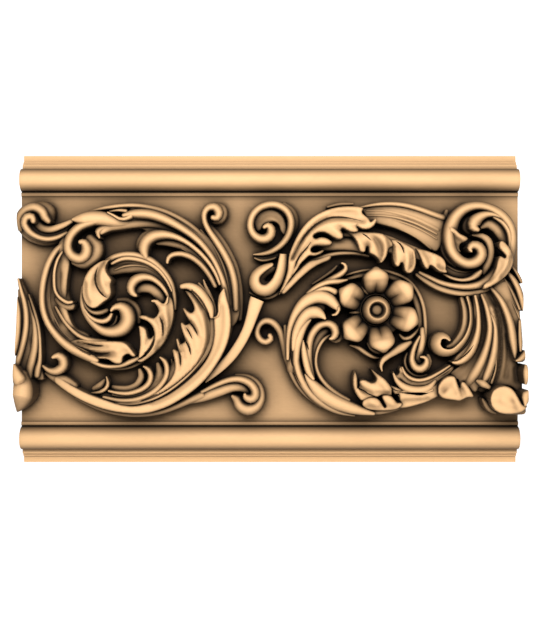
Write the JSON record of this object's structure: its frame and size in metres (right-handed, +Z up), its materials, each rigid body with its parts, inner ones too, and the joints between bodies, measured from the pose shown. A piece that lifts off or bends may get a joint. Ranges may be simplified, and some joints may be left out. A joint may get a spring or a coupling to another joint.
{
  "type": "carved frieze panel",
  "caption": "Wall panel of running frieze: high-relief acanthus scrolls and a rosette flower on a flat ground between two bead mouldings, square-cut ends.",
  "frame": {"origin": "middle of the flat back face, where the panel meets the wall", "axes": "+X along the frieze, +Y into the wall, +Z up; the carved face looks along -Y"},
  "size_m": [0.496, 0.0675, 0.3088],
  "materials": {
    "carved_panel": "smooth, unvarnished, satin"
  },
  "bodies": {
    "root": {"carved_panel": "carved_panel"}
  },
  "joints": []
}
